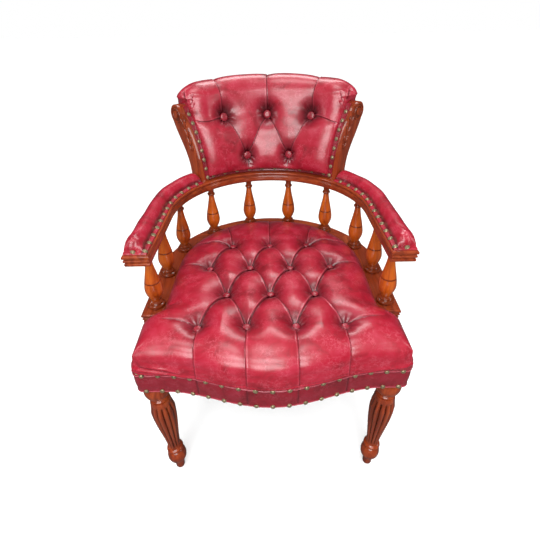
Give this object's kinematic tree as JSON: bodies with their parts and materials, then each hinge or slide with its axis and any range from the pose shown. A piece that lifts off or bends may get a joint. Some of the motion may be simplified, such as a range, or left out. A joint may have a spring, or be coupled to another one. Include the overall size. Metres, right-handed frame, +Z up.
{
  "type": "button-tufted leather armchair",
  "caption": "Desk armchair with a serpentine buttoned leather seat, a horseshoe gallery of turned spindles, padded arms and a curved buttoned back.",
  "frame": {"origin": "middle of the chair's footprint box on the floor", "axes": "+Z up, the sitter faces -Y, +X to the right of someone looking at the chair's front"},
  "size_m": [0.563, 0.6666, 0.8471],
  "materials": {
    "polished_wood": "gloss red-brown polish",
    "spindle_wood": "gloss amber-brown polish",
    "frame_wood": "unfinished beech and plywood",
    "leather": "antiqued crimson hide, softly glossy",
    "brass_nails": "antiqued",
    "steel_screws": "zinc plated",
    "dust_cloth": "black woven cloth"
  },
  "bodies": {
    "root": {"front_leg_left": "polished_wood", "front_leg_right": "polished_wood", "rear_leg_left": "polished_wood", "rear_leg_right": "polished_wood", "front_rail": "frame_wood", "side_rail_left": "frame_wood", "side_rail_right": "frame_wood", "back_rail": "frame_wood", "corner_blocks": "frame_wood", "block_screws": "steel_screws", "frame_dowels": "frame_wood", "leg_screws": "steel_screws", "seat_board": "frame_wood", "board_screws": "steel_screws", "seat_band": "leather", "seat_cushion": "leather", "seat_buttons": "leather", "seat_nails_upper": "brass_nails", "seat_nails_lower": "brass_nails", "dust_cover": "dust_cloth", "base_bow_left": "polished_wood", "base_bow_back": "polished_wood", "base_bow_right": "polished_wood", "base_dowels": "frame_wood", "bow_dowels": "frame_wood", "spindle_1": "spindle_wood", "spindle_2": "spindle_wood", "spindle_3": "spindle_wood", "spindle_4": "spindle_wood", "spindle_5": "spindle_wood", "spindle_6": "spindle_wood", "spindle_7": "spindle_wood", "spindle_8": "spindle_wood", "spindle_9": "spindle_wood", "spindle_10": "spindle_wood", "arm_bow_left": "polished_wood", "arm_bow_back": "polished_wood", "arm_bow_right": "polished_wood", "arm_pad_left": "leather", "arm_pad_right": "leather", "arm_nails_left": "brass_nails", "arm_nails_right": "brass_nails", "back_post_left": "polished_wood", "back_post_right": "polished_wood", "post_screws": "steel_screws", "back_bottom_rail": "frame_wood", "back_top_rail": "frame_wood", "back_board": "frame_wood", "back_cushion": "leather", "back_buttons": "leather", "back_trim": "leather", "back_nails": "brass_nails", "outside_back": "leather", "outside_nails": "brass_nails"}
  },
  "joints": []
}
